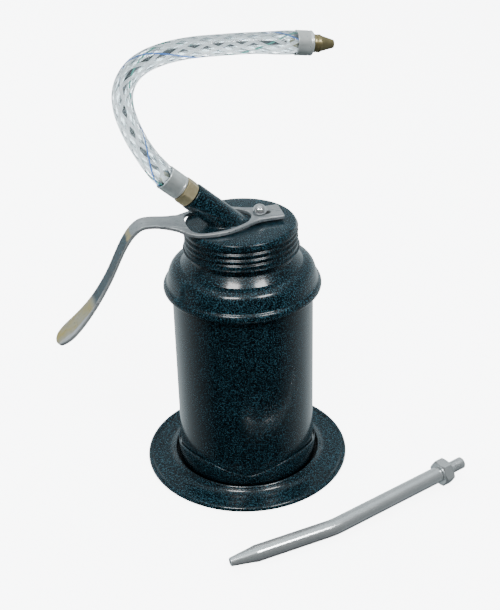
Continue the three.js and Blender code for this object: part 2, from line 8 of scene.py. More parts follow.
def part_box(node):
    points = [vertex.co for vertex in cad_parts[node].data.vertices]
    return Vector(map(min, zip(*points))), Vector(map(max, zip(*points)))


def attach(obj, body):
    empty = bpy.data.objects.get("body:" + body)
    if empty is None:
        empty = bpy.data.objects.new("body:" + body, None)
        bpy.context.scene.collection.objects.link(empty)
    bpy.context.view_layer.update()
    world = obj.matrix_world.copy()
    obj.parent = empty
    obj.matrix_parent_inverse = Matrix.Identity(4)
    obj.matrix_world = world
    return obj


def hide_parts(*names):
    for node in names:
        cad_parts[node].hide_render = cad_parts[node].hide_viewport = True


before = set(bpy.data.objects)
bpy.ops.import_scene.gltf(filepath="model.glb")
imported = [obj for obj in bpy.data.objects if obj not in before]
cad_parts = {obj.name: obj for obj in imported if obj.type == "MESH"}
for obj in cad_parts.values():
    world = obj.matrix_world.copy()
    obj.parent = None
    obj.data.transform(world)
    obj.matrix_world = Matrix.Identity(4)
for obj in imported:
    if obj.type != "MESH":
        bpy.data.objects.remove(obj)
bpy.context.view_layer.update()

mm = 0.001
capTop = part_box("cap_shell")[1].z

# ---- camera ----
view = {"azimuth": 13.0, "distance": 0.47173, "height": 0.35078, "tilt": 29.691,
        "pan": 0.384, "roll": -1.501, "lens": 70.0}


def placeCamera():
    lens = bpy.data.cameras.new("camera")
    lens.sensor_fit = "VERTICAL"
    lens.sensor_height = 36
    lens.lens = view["lens"]
    camera = bpy.data.objects.new("camera", lens)
    bpy.context.scene.collection.objects.link(camera)
    turn = math.radians(view["azimuth"])
    place = Vector((-math.sin(turn), -math.cos(turn), 0)) * view["distance"]
    place.z = view["height"]
    camera.matrix_world = (
        Matrix.Translation(place)
        @ Matrix.Rotation(-turn - math.radians(view["pan"]), 4, "Z")
        @ Matrix.Rotation(math.radians(90 - view["tilt"]), 4, "X")
        @ Matrix.Rotation(math.radians(view["roll"]), 4, "Z")
    )
    bpy.context.scene.camera = camera
    print("camera placed")


placeCamera()


# ---- modelling helpers ----
def clearSelection():
    if bpy.context.object and bpy.context.object.mode != "OBJECT":
        bpy.ops.object.mode_set(mode="OBJECT")
    bpy.ops.object.select_all(action="DESELECT")


def pick(piece):
    clearSelection()
    bpy.context.view_layer.objects.active = piece
    piece.select_set(True)


def settle(piece, place=None):
    # the piece's place goes into its mesh
    if place is not None:
        piece.matrix_world = place @ piece.matrix_world
    bpy.context.view_layer.update()
    pick(piece)
    bpy.ops.object.transform_apply(location=True, rotation=True, scale=True)


def smoothBy(piece, degrees=35):
    pick(piece)
    bpy.ops.object.shade_smooth_by_angle(angle=math.radians(degrees))


def useModifier(piece, kind, **values):
    pick(piece)
    modifier = piece.modifiers.new(kind.lower(), kind)
    for key, value in values.items():
        setattr(modifier, key, value)
    bpy.ops.object.modifier_apply(modifier=modifier.name)


def arcLine(cx, cz, radius, start, end, steps):
    # points on an arc in a profile, angles in degrees
    angles = [math.radians(start + (end - start) * i / steps) for i in range(steps + 1)]
    return [(cx + radius * math.cos(a), cz + radius * math.sin(a)) for a in angles]


def smoothLine(points, steps):
    # a smooth line through a few points
    last = len(points) - 1
    line = []
    for i in range(steps + 1):
        place = last * i / steps
        k = min(int(place), last - 1)
        t = place - k
        p0, p1, p2, p3 = (Vector(points[min(max(k + d, 0), last)]) for d in (-1, 0, 1, 2))
        v0, v1 = (p2 - p0) / 2, (p3 - p1) / 2
        line.append(tuple((2 * p1 - 2 * p2 + v0 + v1) * t ** 3
                          + (3 * p2 - 3 * p1 - 2 * v0 - v1) * t ** 2 + v0 * t + p1))
    return line


def eased(profile, radius, closed=True):
    # the profile with its sharp corners rounded
    count = len(profile)
    line = []
    for i, corner in enumerate(profile):
        here = Vector(corner)
        before, after = Vector(profile[i - 1]), Vector(profile[(i + 1) % count])
        ends = not closed and i in (0, count - 1)
        a, b = before - here, after - here
        if ends or a.length < 1e-6 or b.length < 1e-6 or a.angle(b) > math.radians(150):
            line.append(tuple(here))
            continue
        back = min(radius, a.length * 0.45, b.length * 0.45)
        start, end = here + a.normalized() * back, here + b.normalized() * back
        for t in (0, 0.25, 0.5, 0.75, 1):
            line.append(tuple(start * (1 - t) ** 2 + here * 2 * t * (1 - t) + end * t ** 2))
    return line


def weld(threshold):
    # in edit mode: merges the points that meet and turns the faces outward
    bpy.ops.mesh.select_all(action="SELECT")
    bpy.ops.mesh.remove_doubles(threshold=threshold)
    bpy.ops.mesh.normals_make_consistent(inside=False)
    bpy.ops.object.mode_set(mode="OBJECT")


def meshOf(name, shape, threshold):
    # a curve as a mesh
    piece = bpy.data.objects.new(name, shape)
    bpy.context.scene.collection.objects.link(piece)
    pick(piece)
    bpy.ops.object.convert(target="MESH")
    bpy.ops.object.mode_set(mode="EDIT")
    weld(threshold)
    return bpy.context.object


def spun(name, profile, steps=160, closed=True):
    # a profile drawn point by point and spun about +Z; closed joins its last point to its first
    clearSelection()
    bpy.ops.mesh.primitive_plane_add(size=mm)
    piece = bpy.context.object
    piece.name = piece.data.name = name
    line = [Vector((max(r, 0) * mm, 0, z * mm)) for r, z in profile]
    if closed:
        line.append(line[0])
    bpy.ops.object.mode_set(mode="EDIT")
    bpy.ops.mesh.select_all(action="SELECT")
    bpy.ops.mesh.merge(type="CENTER")
    bpy.ops.transform.translate(value=line[0])
    for here, there in zip(line, line[1:]):
        bpy.ops.mesh.extrude_vertices_move(TRANSFORM_OT_translate={"value": there - here})
    bpy.ops.mesh.select_all(action="SELECT")
    bpy.ops.mesh.spin(steps=steps, angle=2 * math.pi, center=(0, 0, 0), axis=(0, 0, 1))
    weld(2e-6)
    return piece


def reshape(piece, rule):
    # moves each point by a rule on its radius, azimuth and height, in millimetres
    for v in piece.data.vertices:
        radius, azimuth = math.hypot(v.co.x, v.co.y) / mm, math.atan2(v.co.y, v.co.x)
        r, z = rule(radius, azimuth, v.co.z / mm)
        v.co = (r * math.cos(azimuth) * mm, r * math.sin(azimuth) * mm, z * mm)
    piece.data.update()


def cutWith(piece, tool, how="DIFFERENCE"):
    useModifier(piece, "BOOLEAN", operation=how, object=tool, solver="EXACT")
    bpy.data.objects.remove(tool)


def plateOf(name, outlines, thick, edge):
    # a flat plate from its outlines in millimetres, holes among them, with rounded edges
    shape = bpy.data.curves.new(name, "CURVE")
    shape.dimensions = "2D"
    shape.fill_mode = "BOTH"
    for outline in outlines:
        spline = shape.splines.new("POLY")
        spline.points.add(len(outline) - 1)
        for point, (x, y) in zip(spline.points, outline):
            point.co = (x * mm, y * mm, 0, 1)
        spline.use_cyclic_u = True
    shape.extrude = (thick / 2 - edge) * mm
    shape.bevel_depth = edge * mm
    shape.bevel_resolution = 2
    shape.offset = -edge * mm
    return meshOf(name, shape, 5e-6)


def hexPiece(name, flats, low, high, edge=0.15):
    # a hexagon with its corners turned off at both ends
    corner = flats / math.sqrt(3)
    clearSelection()
    bpy.ops.mesh.primitive_cylinder_add(vertices=6, radius=corner * mm, depth=(high - low) * mm,
                                        location=(0, 0, (low + high) / 2 * mm))
    piece = bpy.context.object
    piece.name = piece.data.name = name
    settle(piece)
    useModifier(piece, "BEVEL", width=edge * mm, segments=3)
    slope = (corner - flats / 2) * 0.75
    lens = spun("lens", [(0, low - 0.01), (flats * 0.485, low - 0.01), (corner + 0.05, low + slope),
                         (corner + 0.05, high - slope), (flats * 0.485, high + 0.01), (0, high + 0.01)], 96)
    cutWith(piece, lens, "INTERSECT")
    return piece


def joined(piece, *others):
    pick(piece)
    for other in others:
        other.select_set(True)
    bpy.ops.object.join()
    return piece


def finished(piece, material, body, slot, *nodes):
    piece.data.materials.clear()
    piece.data.materials.append(material)
    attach(piece, body)
    if nodes:
        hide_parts(*nodes)
    return piece


# ---- shader groups ----
def newGroup(name, inputs, outputs):
    group = bpy.data.node_groups.new(name, "ShaderNodeTree")
    for label, kind, value in inputs:
        socket = group.interface.new_socket(label, in_out="INPUT", socket_type=kind)
        if value is not None:
            socket.default_value = value
    for label, kind in outputs:
        group.interface.new_socket(label, in_out="OUTPUT", socket_type=kind)
    return group, group.nodes.new("NodeGroupInput"), group.nodes.new("NodeGroupOutput")


def addNode(tree, kind, **values):
    node = tree.nodes.new(kind)
    for key, value in values.items():
        if key in node.inputs:
            node.inputs[key].default_value = value
        else:
            setattr(node, key, value)
    return node


def feed(tree, socket, value):
    # links an output, or sets a plain value
    if hasattr(value, "links"):
        tree.links.new(value, socket)
    else:
        socket.default_value = value


def addNoise(tree, vector, scale, detail=2.0, roughness=0.5):
    node = addNode(tree, "ShaderNodeTexNoise", Scale=scale, Detail=detail, Roughness=roughness)
    tree.links.new(vector, node.inputs["Vector"])
    return node


def addRange(tree, value, low, high, toLow=0.0, toHigh=1.0):
    node = addNode(tree, "ShaderNodeMapRange")
    for label, number in (("From Min", low), ("From Max", high), ("To Min", toLow), ("To Max", toHigh)):
        feed(tree, node.inputs[label], number)
    tree.links.new(value, node.inputs["Value"])
    return node.outputs["Result"]


def addMath(tree, operation, first, second):
    node = addNode(tree, "ShaderNodeMath", operation=operation)
    for socket, value in zip(node.inputs, (first, second)):
        feed(tree, socket, value)
    return node.outputs[0]


def addMix(tree, amount, first, second):
    node = addNode(tree, "ShaderNodeMix", data_type="RGBA")
    sockets = (node.inputs["Factor"], node.inputs[6], node.inputs[7])
    for socket, value in zip(sockets, (amount, first, second)):
        feed(tree, socket, value)
    return node.outputs[2]


def makeFlecks():
    # fine metal flecks in a stoved enamel, with a broad drift of shade
    group, inside, outside = newGroup(
        "flecks",
        [("Vector", "NodeSocketVector", None), ("Dark", "NodeSocketColor", None),
         ("Fleck", "NodeSocketColor", None), ("Size", "NodeSocketFloat", 2400.0),
         ("Amount", "NodeSocketFloat", 0.5)],
        [("Color", "NodeSocketColor"), ("Mask", "NodeSocketFloat"), ("Height", "NodeSocketFloat")],
    )
    fine = addNode(group, "ShaderNodeTexNoise", Detail=2.0, Roughness=0.7)
    group.links.new(inside.outputs["Vector"], fine.inputs["Vector"])
    group.links.new(inside.outputs["Size"], fine.inputs["Scale"])
    broad = addNoise(group, inside.outputs["Vector"], 90.0, 3.0)
    mask = addRange(group, fine.outputs["Fac"], 0.5, 0.63)
    drift = addRange(group, broad.outputs["Fac"], 0.3, 0.7, 0.6, 1.0)
    strength = addMath(group, "MULTIPLY", mask, addMath(group, "MULTIPLY", drift, inside.outputs["Amount"]))
    color = addMix(group, strength, inside.outputs["Dark"], inside.outputs["Fleck"])
    group.links.new(color, outside.inputs["Color"])
    group.links.new(strength, outside.inputs["Mask"])
    group.links.new(fine.outputs["Fac"], outside.inputs["Height"])
    return group


def makeWearAndHighlight():
    # rubbed edges, and on the enamel a painted edge highlight: 1 on an outer edge, 0 elsewhere
    group, inside, outside = newGroup(
        "edgeWearAndHighlight",
        [("Vector", "NodeSocketVector", None), ("Low", "NodeSocketFloat", 0.52),
         ("High", "NodeSocketFloat", 0.6)],
        [("Mask", "NodeSocketFloat")],
    )
    geometry = group.nodes.new("ShaderNodeNewGeometry")
    edge = addRange(group, geometry.outputs["Pointiness"], inside.outputs["Low"], inside.outputs["High"])
    patches = addNoise(group, inside.outputs["Vector"], 500.0, 4.0, 0.65)
    broken = addRange(group, patches.outputs["Fac"], 0.4, 0.6, 0.2, 1.0)
    group.links.new(addMath(group, "MULTIPLY", edge, broken), outside.inputs["Mask"])
    return group


def makeGrain():
    # drawn or rolled metal: streaks along one direction, and smudges
    group, inside, outside = newGroup(
        "metalGrain",
        [("Vector", "NodeSocketVector", None), ("Stretch", "NodeSocketVector", (60.0, 2500.0, 2500.0)),
         ("Smudge", "NodeSocketFloat", 120.0)],
        [("Streaks", "NodeSocketFloat"), ("Smudges", "NodeSocketFloat")],
    )
    scaled = addNode(group, "ShaderNodeVectorMath", operation="MULTIPLY")
    group.links.new(inside.outputs["Vector"], scaled.inputs[0])
    group.links.new(inside.outputs["Stretch"], scaled.inputs[1])
    streaks = addNoise(group, scaled.outputs[0], 1.0, 3.0, 0.6)
    smudges = addNode(group, "ShaderNodeTexNoise", Detail=4.0, Roughness=0.6)
    group.links.new(inside.outputs["Vector"], smudges.inputs["Vector"])
    group.links.new(inside.outputs["Smudge"], smudges.inputs["Scale"])
    group.links.new(streaks.outputs["Fac"], outside.inputs["Streaks"])
    group.links.new(smudges.outputs["Fac"], outside.inputs["Smudges"])
    return group


flecks, edgeWearAndHighlight, metalGrain = makeFlecks(), makeWearAndHighlight(), makeGrain()


def startMaterial(name, **values):
    material = bpy.data.materials.new(name)
    material.use_nodes = True
    tree = material.node_tree
    shader = tree.nodes["Principled BSDF"]
    for label, value in values.items():
        shader.inputs[label.replace("_", " ")].default_value = value
    place = tree.nodes.new("ShaderNodeTexCoord").outputs["Object"]
    return material, tree, shader, place


def addGroup(tree, group, vector, **values):
    node = tree.nodes.new("ShaderNodeGroup")
    node.node_tree = group
    tree.links.new(vector, node.inputs["Vector"])
    for label, value in values.items():
        node.inputs[label].default_value = value
    return node


def addBump(tree, shader, height, distance, strength=1.0):
    bump = addNode(tree, "ShaderNodeBump", Strength=strength, Distance=distance)
    tree.links.new(height, bump.inputs["Height"])
    tree.links.new(bump.outputs["Normal"], shader.inputs["Normal"])


enamel = {"dark": (0.0006, 0.0018, 0.0028, 1), "fleck": (0.040, 0.135, 0.185, 1), "amount": 0.8,
          "size": 1900.0, "roughness": 0.22, "gloss": 0.36, "coatRoughness": 0.1, "paintedCreaseShade": 0.014}


def makeEnamel(name, amount, coat=0.45):
    material, tree, shader, place = startMaterial(
        name, Coat_Roughness=enamel["coatRoughness"], Specular_IOR_Level=enamel["gloss"])
    paint = addGroup(tree, flecks, place, Dark=enamel["dark"], Fleck=enamel["fleck"],
                     Size=enamel["size"], Amount=amount)
    # sharp edges turn a lighter teal: rubbed wear and a painted highlight
    wearAndHighlight = addGroup(tree, edgeWearAndHighlight, place, Low=0.53, High=0.6)
    color = addMix(tree, addMath(tree, "MULTIPLY", wearAndHighlight.outputs["Mask"], 0.5), paint.outputs["Color"],
                   (0.09, 0.15, 0.18, 1))
    # painted shade: grooves and folds are darkened towards near-black by an ambient occlusion node
    paintedCreaseShade = addNode(tree, "ShaderNodeAmbientOcclusion", samples=8, only_local=True,
                     Distance=enamel["paintedCreaseShade"])
    depth = addRange(tree, paintedCreaseShade.outputs["AO"], 0.42, 0.92)
    tree.links.new(addMix(tree, depth, (0.0006, 0.001, 0.0015, 1), color), shader.inputs["Base Color"])
    tree.links.new(addRange(tree, paint.outputs["Mask"], 0.0, 1.0, enamel["roughness"], 0.34),
                   shader.inputs["Roughness"])
    # the clear top coat shows at shallow angles
    facing = addNode(tree, "ShaderNodeLayerWeight", Blend=0.5)
    tree.links.new(addRange(tree, facing.outputs["Facing"], 0.3, 0.85, coat, 1.0),
                   shader.inputs["Coat Weight"])
    addBump(tree, shader, paint.outputs["Height"], 0.00006, 0.4)
    return material


def makeMetal(name, color, shade, roughness=(0.22, 0.42), stretch=(60.0, 2500.0, 2500.0), bump=0.00002,
              edge=None, metallic=0.6):
    material, tree, shader, place = startMaterial(name, Metallic=metallic)
    grain = addGroup(tree, metalGrain, place, Stretch=stretch)
    tone = addMix(tree, addRange(tree, grain.outputs["Smudges"], 0.3, 0.72), color, shade)
    if edge:
        wearAndHighlight = addGroup(tree, edgeWearAndHighlight, place)
        tone = addMix(tree, wearAndHighlight.outputs["Mask"], tone, edge)
    tree.links.new(tone, shader.inputs["Base Color"])
    mixed = addMath(tree, "ADD", addMath(tree, "MULTIPLY", grain.outputs["Streaks"], 0.6),
                    addMath(tree, "MULTIPLY", grain.outputs["Smudges"], 0.4))
    tree.links.new(addRange(tree, mixed, 0.3, 0.7, *roughness), shader.inputs["Roughness"])
    addBump(tree, shader, grain.outputs["Streaks"], bump, 0.6)
    return material


# where the lever's marks fade in and out, metres along the strap and, for side, across it
leverMarks = {"side": (-0.0054, -0.0044), "handle": (-0.0440, -0.0500), "darkHigh": (-0.0505, -0.0515),
              "darkLow": (-0.0685, -0.0665), "spotHigh": (-0.0488, -0.0495), "spotLow": (-0.0520, -0.0510),
              "paddle": (-0.0665, -0.0690)}


def makeLeverSteel():
    # zinc-plated strap: pale at the ring, with a painted dark reflection on the top of the steep stretch,
    # yellow-passivated at the paddle, and a painted pale reflection along its near flank
    material, tree, shader, place = startMaterial("leverSteel", Metallic=0.65)
    grain = addGroup(tree, metalGrain, place, Stretch=(80.0, 2200.0, 900.0))
    steel = addMix(tree, addRange(tree, grain.outputs["Smudges"], 0.3, 0.7),
                   (0.47, 0.50, 0.51, 1), (0.31, 0.34, 0.36, 1))
    apart = addNode(tree, "ShaderNodeSeparateXYZ")
    tree.links.new(place, apart.inputs[0])
    ragged = addMath(tree, "MULTIPLY", addMath(tree, "SUBTRACT", grain.outputs["Smudges"], 0.5), 0.004)
    along = addMath(tree, "ADD", apart.outputs["X"], ragged)
    across = addMath(tree, "ADD", apart.outputs["Y"], ragged)
    facing = addNode(tree, "ShaderNodeSeparateXYZ")
    tree.links.new(tree.nodes.new("ShaderNodeNewGeometry").outputs["Normal"], facing.inputs[0])
    top = addMath(tree, "MULTIPLY", addRange(tree, facing.outputs["Z"], 0.1, 0.3),
                  addRange(tree, across, *leverMarks["side"]))
    # painted reflection: the top face of the steep stretch is given a dark, flecked teal and less metal
    dark = addMath(tree, "MULTIPLY", addRange(tree, along, *leverMarks["darkHigh"]),
                   addRange(tree, along, *leverMarks["darkLow"]))
    dark = addMath(tree, "MULTIPLY", dark, top)
    spot = addMath(tree, "MULTIPLY", addRange(tree, along, *leverMarks["spotHigh"]),
                   addRange(tree, along, *leverMarks["spotLow"]))
    paddle = addRange(tree, along, *leverMarks["paddle"])
    patches = addRange(tree, grain.outputs["Smudges"], 0.35, 0.6, 0.45, 1.0)
    yellow = addMath(tree, "MULTIPLY", addMath(tree, "MAXIMUM", spot, paddle),
                     addMath(tree, "MULTIPLY", top, patches))
    handle = addRange(tree, along, *leverMarks["handle"])
    # painted reflection: the handle's near flank is made paler
    flank = addMath(tree, "MULTIPLY", handle, addMath(tree, "SUBTRACT", 1.0, top))
    tone = addMix(tree, flank, steel, (0.56, 0.59, 0.60, 1))
    tone = addMix(tree, addMath(tree, "MULTIPLY", yellow, 0.95), tone, (0.50, 0.41, 0.16, 1))
    fleck = addGroup(tree, flecks, place, Dark=(0.004, 0.010, 0.014, 1), Fleck=(0.05, 0.16, 0.22, 1),
                     Size=1900.0, Amount=0.8)
    tone = addMix(tree, addMath(tree, "MULTIPLY", dark, 0.97), tone, fleck.outputs["Color"])
    wearAndHighlight = addGroup(tree, edgeWearAndHighlight, place)
    tone = addMix(tree, addMath(tree, "MULTIPLY", wearAndHighlight.outputs["Mask"], 0.8), tone, (0.85, 0.87, 0.88, 1))
    tree.links.new(tone, shader.inputs["Base Color"])
    tree.links.new(addRange(tree, dark, 0.0, 1.0, 0.65, 0.1), shader.inputs["Metallic"])
    tree.links.new(addRange(tree, grain.outputs["Streaks"], 0.3, 0.7, 0.24, 0.42), shader.inputs["Roughness"])
    addBump(tree, shader, grain.outputs["Streaks"], 0.00002, 0.6)
    return material


def makeSoft(name, color, shade, roughness, scale, bump):
    material, tree, shader, place = startMaterial(name, Roughness=roughness)
    cloud = addNoise(tree, place, scale, 5.0, 0.65)
    tree.links.new(addMix(tree, addRange(tree, cloud.outputs["Fac"], 0.35, 0.65), color, shade),
                   shader.inputs["Base Color"])
    addBump(tree, shader, cloud.outputs["Fac"], bump)
    return material


def makeClearHose():
    material, tree, shader, place = startMaterial(
        "clearHose", IOR=1.3, Transmission_Weight=0.93, Base_Color=(0.62, 0.68, 0.70, 1))
    ripple = addNoise(tree, place, 420.0, 2.0)
    tree.links.new(addRange(tree, ripple.outputs["Fac"], 0.3, 0.7, 0.06, 0.2), shader.inputs["Roughness"])
    addBump(tree, shader, ripple.outputs["Fac"], 0.0001, 0.4)
    return material


darkEnamel = makeEnamel("darkEnamel", enamel["amount"])
bodyEnamel = makeEnamel("bodyEnamel", 0.6)
capEnamel = makeEnamel("capEnamel", 0.7, 0.05)
leverSteel = makeLeverSteel()
zincSteel = makeMetal("zincSteel", (0.90, 0.93, 0.94, 1), (0.78, 0.82, 0.83, 1), (0.17, 0.26),
                      (40.0, 700.0, 700.0), bump=0.000002, metallic=0.78)
polishedSteel = makeMetal("polishedSteel", (0.80, 0.81, 0.82, 1), (0.66, 0.68, 0.69, 1), (0.08, 0.2),
                          metallic=0.8)
evenGrain = (900.0, 900.0, 900.0)
agedBrass = makeMetal("agedBrass", (0.46, 0.39, 0.19, 1), (0.24, 0.20, 0.11, 1), (0.25, 0.5), evenGrain,
                      edge=(0.72, 0.62, 0.36, 1), metallic=0.8)
paleBrass = makeMetal("paleBrass", (0.50, 0.42, 0.24, 1), (0.38, 0.32, 0.18, 1), (0.3, 0.5), evenGrain,
                      edge=(0.74, 0.66, 0.44, 1))
ferruleMetal = makeMetal("ferruleMetal", (0.90, 0.93, 0.91, 1), (0.62, 0.66, 0.65, 1), (0.25, 0.42),
                         evenGrain, edge=(0.8, 0.81, 0.82, 1), metallic=0.62)
springSteel = makeMetal("springSteel", (0.62, 0.63, 0.64, 1), (0.40, 0.41, 0.43, 1), (0.15, 0.3))
sealLeather = makeSoft("sealLeather", (0.16, 0.08, 0.035, 1), (0.09, 0.045, 0.02, 1), 0.7, 900.0, 0.0001)
gasketRubber = makeSoft("gasketRubber", (0.02, 0.02, 0.02, 1), (0.04, 0.04, 0.04, 1), 0.75, 1500.0, 0.00005)
clearHose = makeClearHose()
braidYarn = makeSoft("braidYarn", (0.86, 0.88, 0.89, 1), (0.66, 0.69, 0.71, 1), 0.5, 1800.0, 0.00005)
blueYarn = makeSoft("blueYarn", (0.02, 0.11, 0.40, 1), (0.04, 0.17, 0.50, 1), 0.5, 1800.0, 0.00005)
greenYarn = makeSoft("greenYarn", (0.02, 0.20, 0.17, 1), (0.05, 0.28, 0.23, 1), 0.5, 1800.0, 0.00005)
boreShade = makeSoft("boreShade", (0.006, 0.009, 0.010, 1), (0.03, 0.04, 0.045, 1), 0.4, 700.0, 0.00005)
print("materials made")

# ---- flexible spout: clear hose with a braid inside its wall ----
hose = {"radius": 4.4, "wall": 1.2, "swell": 0.55, "swellAt": 10.0, "swellLength": 16.0,
        "braidRadius": 3.55, "yarn": 0.17, "spread": 0.13, "cross": 0.12, "tracer": 1.9, "strands": 6,
        "pitch": 58.0, "shadeCore": 0.95, "shadeCoreLow": 13.0, "shadeCoreHigh": 10.0}
# the hose's axis from the lower ferrule to the upper one, [x, z] in millimetres above the cap's top face
hoseRoute = [
    (-26.9, 19.9), (-31.9, 24.6), (-36.4, 30.4), (-40.3, 36.9), (-43.5, 43.5), (-46.0, 50.3),
    (-47.6, 57.1), (-47.6, 63.4), (-45.6, 68.9), (-42.0, 73.2), (-37.0, 76.2), (-31.0, 78.1),
    (-24.0, 79.3), (-16.0, 79.8), (-8.0, 79.7), (0.0, 79.5), (8.0, 79.1), (16.0, 78.4),
    (24.0, 77.7), (31.2, 76.8),
]
hoseLine = [Vector((x * mm, 0, capTop + z * mm)) for x, z in smoothLine(hoseRoute, 240)]
hoseSteps = [0.0]
for here, there in zip(hoseLine, hoseLine[1:]):
    hoseSteps.append(hoseSteps[-1] + (there - here).length)
hoseLength = hoseSteps[-1]


def hoseAt(s):
    # the axis point and its two crosswise directions, s metres along the hose
    k = min(int(np.searchsorted(hoseSteps, s, side="right")) - 1, len(hoseLine) - 2)
    along = (hoseLine[k + 1] - hoseLine[k]).normalized()
    point = hoseLine[k] + along * (s - hoseSteps[k])
    return point, Vector((0, 1, 0)), along.cross(Vector((0, 1, 0)))


def swellAt(s):
    # the hose bulges where it comes out of each ferrule
    reach = min(s, hoseLength - s) / mm
    return hose["swell"] * math.exp(-((reach - hose["swellAt"]) / hose["swellLength"] * 2) ** 2)


def lineTube(name, points, radii, sides):
    shape = bpy.data.curves.new(name, "CURVE")
    shape.dimensions = "3D"
    shape.bevel_depth = 1.0
    shape.bevel_resolution = sides
    shape.use_fill_caps = True
    spline = shape.splines.new("POLY")
    spline.points.add(len(points) - 1)
    for item, point, radius in zip(spline.points, points, radii):
        item.co = (*point, 1)
        item.radius = radius
    return meshOf(name, shape, 1e-6)


def hoseTube():
    stations = np.linspace(0, hoseLength, 150)
    points = [hoseAt(s)[0] for s in stations]
    outer = [(hose["radius"] + swellAt(s)) * mm for s in stations]
    inner = [r - hose["wall"] * mm for r in outer]
    tube = lineTube("hose_wall", points, outer, 14)
    stretched = [points[0] + (points[0] - points[1])] + points + [points[-1] + (points[-1] - points[-2])]
    bore = lineTube("bore", stretched, [inner[0]] + inner + [inner[-1]], 14)
    cutWith(tube, bore)
    smoothBy(tube, 50)
    return tube


def yarnPath(start, turn, radius):
    stations = np.linspace(0.5 * mm, hoseLength - 0.5 * mm, 230)
    points = []
    for s in stations:
        point, side, up = hoseAt(s)
        angle = start + turn * 2 * math.pi * s / (hose["pitch"] * mm)
        reach = (radius + swellAt(s)) * mm
        points.append(point + side * math.cos(angle) * reach + up * math.sin(angle) * reach)
    return points


def braidStrands(name, picks, width):
    strands = []
    for start, turn, lift in picks:
        points = yarnPath(start, turn, hose["braidRadius"] + lift)
        strands.append(lineTube("yarn", points, [width * mm] * len(points), 1))
    piece = joined(*strands)
    piece.name = piece.data.name = name
    smoothBy(piece, 60)
    return piece


def makeHose():
    count, cross, tracer = hose["strands"], hose["cross"], hose["yarn"] * hose["tracer"]
    tube = hoseTube()
    white = [(2 * math.pi * i / count, turn, cross * turn) for i in range(count) for turn in (1, -1)
             if (i, turn) not in ((1, 1), (3, -1))]
    doubled = [(start + turn * step, turn, lift) for start, turn, lift in white
               for step in (-hose["spread"], 0, hose["spread"])]
    braid = braidStrands("hose_braid", doubled, hose["yarn"])
    blue = braidStrands("hose_tracer_blue", [(2 * math.pi / count, 1, cross)], tracer)
    green = braidStrands("hose_tracer_green", [(6 * math.pi / count, -1, -cross)], tracer)
    # painted shade: a dark core down the bore stands in for the shade seen through the braid
    stations = np.linspace(hose["shadeCoreLow"] * mm, hoseLength - hose["shadeCoreHigh"] * mm, 110)
    middle = [hoseAt(s)[0] for s in stations]
    shadeCore = lineTube("hose_bore_shade_core", middle, [hose["shadeCore"] * mm] * len(middle), 3)
    smoothBy(shadeCore, 60)
    finished(shadeCore, boreShade, "cap", "clear_hose")
    finished(tube, clearHose, "cap", "clear_hose", "spout_hose")
    finished(braid, braidYarn, "cap", "clear_hose")
    finished(blue, blueYarn, "cap", "clear_hose")
    finished(green, greenYarn, "cap", "clear_hose")
    print("hose made", round(hoseLength, 4))
    return tube


hoseTubePiece = makeHose()

# ---- foot flange: a petalled collar, a bead, a flat flange and a rolled rim ----
flange = {"bodyRadius": 32.0, "gap": 0.35, "sheet": 0.9, "footRadius": 48.2, "roll": 1.3,
          "petalFoot": 4.6, "petalLow": 7.6, "petalHigh": 14.0, "petalRound": 0.25,
          "petalTurn": -13.0, "bodyWall": 0.6}


def footFlange():
    inner = flange["bodyRadius"] + flange["gap"]
    collar = inner + flange["sheet"] * 0.85
    bead = flange["bodyRadius"] + 2.65
    rimAt = flange["footRadius"] - flange["roll"]
    top = smoothLine([(collar, 3.4), (collar + 0.08, 2.7), (bead - 1.15, 2.45), (bead - 0.85, 3.0),
                      (bead - 0.55, 4.2), (bead - 0.1, 4.62), (bead + 0.35, 4.4), (bead + 1.0, 3.6),
                      (bead + 2.2, 2.5), (bead + 4.4, 1.85), (rimAt - 3.0, 1.8), (rimAt - 1.4, 1.75)], 66)
    roll = arcLine(rimAt, flange["roll"], flange["roll"], 115, -160, 26)
    under = smoothLine([(rimAt - 1.25, 0.7), (bead + 4, 0.95), (bead + 2, 1.25), (bead + 0.4, 3.1),
                        (bead - 0.2, 3.0), (bead - 0.8, 1.5), (inner, 1.4)], 30)
    low, high = flange["petalFoot"], flange["petalHigh"]
    lip = arcLine(inner + 0.38, high - 0.38, 0.38, 180, 0, 8)
    wall = [(collar, 11.0), (collar, 8.0), (collar, 6.0), (collar, low)]
    piece = spun("foot_flange", [*lip, *wall, *top, *roll, *under, (inner, 5.0), (inner, 9.0)], 240)
    turn = math.radians(flange["petalTurn"])

    def petals(r, azimuth, z):
        if r > collar + 0.05 or z < low + 0.1:
            return r, z
        wave = math.hypot(math.sin(2 * (azimuth - turn)), flange["petalRound"])
        edge = flange["petalLow"] + (high - flange["petalLow"]) * wave
        return r, low + (z - low) * (edge - low) / (high - low)

    reshape(piece, petals)
    smoothBy(piece, 60)
    return finished(piece, darkEnamel, "can", "dark_enamel", "base_flange")


def canBody():
    outer, wall = flange["bodyRadius"], flange["bodyWall"]
    low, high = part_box("body_shell")[0].z / mm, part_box("body_shell")[1].z / mm
    levels = [low + (high - low) * i / 12 for i in range(1, 12)]
    profile = [(outer, low + 0.3), *[(outer, z) for z in levels], (outer, high - 0.2),
               (outer - 0.2, high), (outer - wall, high), (outer - wall, low), (outer - 0.3, low)]
    piece = spun("can_body", profile, 192)
    smoothBy(piece, 40)
    return finished(piece, bodyEnamel, "can", "dark_enamel", "body_shell")


footFlange()
canBody()
print("can body made")

